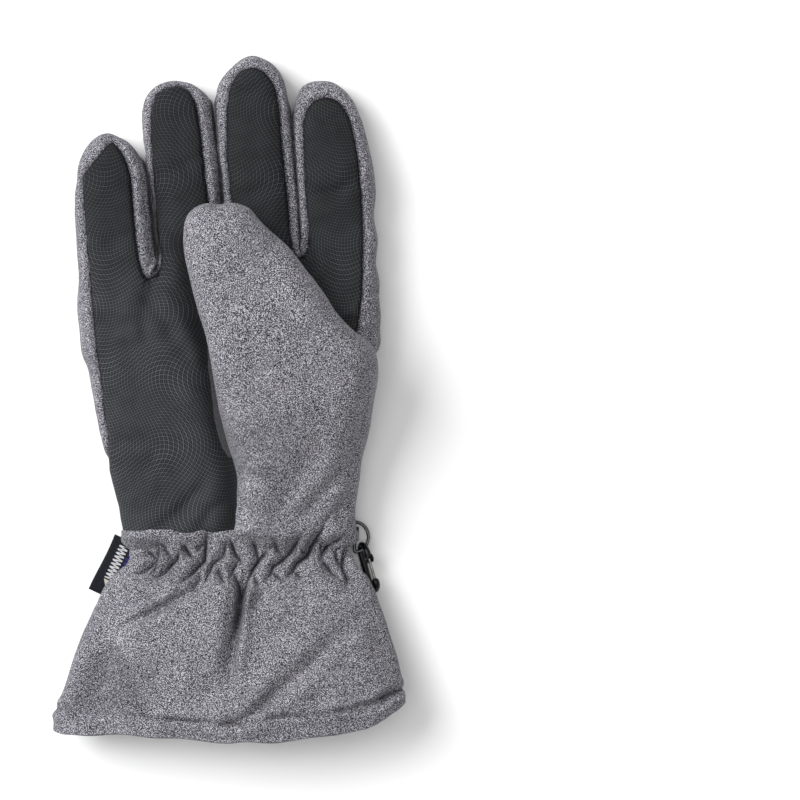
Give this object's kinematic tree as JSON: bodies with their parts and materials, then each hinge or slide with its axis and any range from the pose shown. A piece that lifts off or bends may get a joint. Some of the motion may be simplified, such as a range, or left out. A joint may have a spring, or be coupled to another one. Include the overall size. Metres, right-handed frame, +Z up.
{
  "type": "ski glove",
  "caption": "Padded right-hand ski glove with a gauntlet cuff, shirred wrist, dark grip palm, folded thumb, side label and a snap hook on a D-ring. Lies palm up.",
  "frame": {"origin": "centre of the bounding box in plan, at the surface the glove lies on", "axes": "+Y from the cuff to the fingertips, +Z up from the back of the hand through the palm, +X towards the thumb side"},
  "size_m": [0.147, 0.2876, 0.0536],
  "materials": {
    "shell_grey": "heather grey softshell weave",
    "palm_grip": "coated grip fabric with an embossed wavy grid",
    "wadding": "loose fibre",
    "lining": "brushed fleece",
    "elastic": "ribbed elastic",
    "label": "damask woven ribbon",
    "webbing": "woven tape",
    "black_plastic": "gloss moulded",
    "black_metal": "black nickel"
  },
  "bodies": {
    "hand": {"palm_panel": "palm_grip", "back_panel": "shell_grey", "thumb_base_panel": "shell_grey", "fourchette_little_ring": "shell_grey", "fourchette_ring_middle": "shell_grey", "fourchette_middle_index": "shell_grey", "hand_wadding": "wadding", "hand_lining": "lining", "hanger_tab": "webbing", "little_flex_sleeve": "shell_grey", "ring_flex_sleeve": "shell_grey", "middle_flex_sleeve": "shell_grey", "index_flex_sleeve": "shell_grey", "thumb_flex_sleeve": "shell_grey", "wrist_shirred_sleeve": "shell_grey", "wrist_lining": "lining", "wrist_elastic_upper": "elastic", "wrist_elastic_lower": "elastic"},
    "little_finger": {"little_front_panel": "palm_grip", "little_back_panel": "shell_grey", "little_gusset_thumb_side": "shell_grey", "little_wadding": "wadding", "little_lining": "lining"},
    "ring_finger": {"ring_front_panel": "palm_grip", "ring_back_panel": "shell_grey", "ring_gusset_outer_side": "shell_grey", "ring_gusset_thumb_side": "shell_grey", "ring_wadding": "wadding", "ring_lining": "lining"},
    "middle_finger": {"middle_front_panel": "palm_grip", "middle_back_panel": "shell_grey", "middle_gusset_outer_side": "shell_grey", "middle_gusset_thumb_side": "shell_grey", "middle_wadding": "wadding", "middle_lining": "lining"},
    "index_finger": {"index_front_panel": "palm_grip", "index_back_panel": "shell_grey", "index_gusset_outer_side": "shell_grey", "index_wadding": "wadding", "index_lining": "lining"},
    "thumb": {"thumb_outer_panel": "shell_grey", "thumb_inner_panel": "shell_grey", "thumb_wadding": "wadding", "thumb_lining": "lining"},
    "cuff": {"cuff_front_panel": "shell_grey", "cuff_back_panel": "shell_grey", "cuff_hem": "shell_grey", "cuff_wadding": "wadding", "cuff_lining": "lining"},
    "label": {"woven_label": "label"},
    "hanger_ring": {"d_ring": "black_metal"},
    "hook": {"snap_hook": "black_plastic", "gate_pin": "black_metal"},
    "gate": {"hook_gate": "black_plastic"}
  },
  "joints": [
    {"name": "little_bend", "type": "hinge", "parent": "hand", "child": "little_finger", "pos_m": [-0.0495, 0.07763, 0.0116], "axis": [0.9975, 0.0709, 0], "range_deg": [0, 60], "stiffness_Nm_per_rad": 0.02, "deforming": ["little_flex_sleeve"]},
    {"name": "ring_bend", "type": "hinge", "parent": "hand", "child": "ring_finger", "pos_m": [-0.02102, 0.09292, 0.0116], "axis": [0.9979, 0.0651, 0], "range_deg": [0, 60], "stiffness_Nm_per_rad": 0.02, "deforming": ["ring_flex_sleeve"]},
    {"name": "middle_bend", "type": "hinge", "parent": "hand", "child": "middle_finger", "pos_m": [0.01065, 0.10035, 0.0116], "axis": [0.9989, 0.0467, 0], "range_deg": [0, 60], "stiffness_Nm_per_rad": 0.02, "deforming": ["middle_flex_sleeve"]},
    {"name": "index_bend", "type": "hinge", "parent": "hand", "child": "index_finger", "pos_m": [0.04366, 0.09288, 0.0116], "axis": [0.9959, 0.0903, 0], "range_deg": [0, 60], "stiffness_Nm_per_rad": 0.02, "deforming": ["index_flex_sleeve"]},
    {"name": "thumb_lift", "type": "hinge", "parent": "hand", "child": "thumb", "pos_m": [0.0194, 0.016, 0.042], "axis": [0.9292, 0.3697, 0], "range_deg": [0, 50], "deforming": ["thumb_flex_sleeve"]},
    {"name": "wrist_bend", "type": "hinge", "parent": "hand", "child": "cuff", "pos_m": [0.0018, -0.0662, 0.0132], "axis": [-1, 0, 0], "range_deg": [0, 35], "deforming": ["wrist_shirred_sleeve", "wrist_lining", "wrist_elastic_upper", "wrist_elastic_lower"]},
    {"name": "label_flap", "type": "hinge", "parent": "cuff", "child": "label", "pos_m": [-0.05015, -0.0698, 0.013], "axis": [0.3747, 0.9271, 0], "range_deg": [0, 60]},
    {"name": "ring_swing", "type": "hinge", "parent": "hand", "child": "hanger_ring", "pos_m": [0.0516, -0.0584, 0.0046], "axis": [0, -1, 0], "range_deg": [0, 38]},
    {"name": "hook_swing", "type": "hinge", "parent": "hanger_ring", "child": "hook", "pos_m": [0.05504, -0.06364, 0.0046], "axis": [0, 0, 1], "range_deg": [0, 30]},
    {"name": "gate_open", "type": "hinge", "parent": "hook", "child": "gate", "pos_m": [0.05754, -0.06683, 0.00803], "axis": [0.8814, 0.2876, -0.3746], "range_deg": [0, 22], "stiffness_Nm_per_rad": 0.0006, "springref_deg": -17.19}
  ]
}
